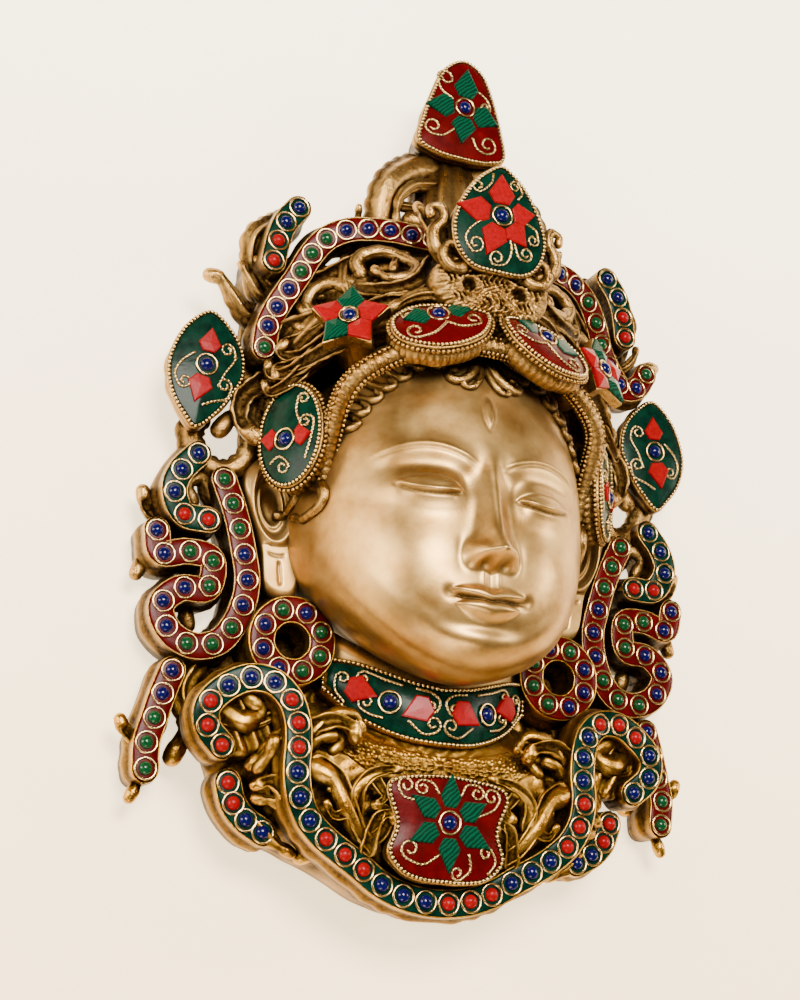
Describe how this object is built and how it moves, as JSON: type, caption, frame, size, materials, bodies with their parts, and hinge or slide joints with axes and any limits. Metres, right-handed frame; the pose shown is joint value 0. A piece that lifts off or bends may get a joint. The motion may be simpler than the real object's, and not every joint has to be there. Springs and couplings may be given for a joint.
{
  "type": "brass wall mask",
  "caption": "Cast brass deity wall mask with crown, scrollwork and stone-paste inlay, lying on its open hollow back",
  "frame": {"origin": "on the plane the back rests on, under the middle of the mask's bounding box", "axes": "X to the viewer's right, Y toward the crown, Z out of the face; left and right in node names are the viewer's"},
  "size_m": [0.2814, 0.4284, 0.1083],
  "materials": {
    "brass": "satin cast brass, dark in the recesses",
    "red_paste": "polished red stone paste with set beads",
    "green_paste": "polished dark green stone paste with set beads",
    "coral": "polished coral red stone",
    "malachite": "polished banded green stone",
    "lapis": "polished deep blue stone"
  },
  "bodies": {
    "root": {"brass_casting": "brass", "brow_panel_left": "red_paste", "brow_panel_right": "red_paste", "chest_centre_stone": "lapis", "chest_field": "red_paste", "chest_petal_1": "malachite", "chest_petal_2": "malachite", "chest_petal_3": "malachite", "chest_petal_4": "malachite", "chest_petal_5": "malachite", "chest_petal_6": "malachite", "collar_field": "green_paste", "crest_centre_stone": "lapis", "crest_field": "green_paste", "crest_petal_1": "coral", "crest_petal_2": "coral", "crest_petal_3": "coral", "crest_petal_4": "coral", "crest_petal_5": "coral", "diadem_flower_left": "coral", "diadem_flower_right": "coral", "ear_hook_inlay_left": "green_paste", "ear_hook_inlay_right": "green_paste", "finial_centre_stone": "lapis", "finial_field": "red_paste", "finial_petal_1": "malachite", "finial_petal_2": "malachite", "finial_petal_3": "malachite", "finial_petal_4": "malachite", "garland_inlay": "green_paste", "hem_inlay_left": "green_paste", "hem_inlay_right": "green_paste", "leaf_panel_left": "green_paste", "leaf_panel_right": "green_paste", "rosette_inlay_left": "red_paste", "rosette_inlay_right": "red_paste", "side_ribbon_inlay_left": "red_paste", "side_ribbon_inlay_right": "red_paste", "tail_inlay_left": "red_paste", "tail_inlay_right": "red_paste", "temple_panel_left": "green_paste", "temple_panel_right": "green_paste", "top_hook_inlay_left": "green_paste", "top_hook_inlay_right": "green_paste", "top_ribbon_inlay_left": "red_paste", "top_ribbon_inlay_right": "red_paste"}
  },
  "joints": []
}
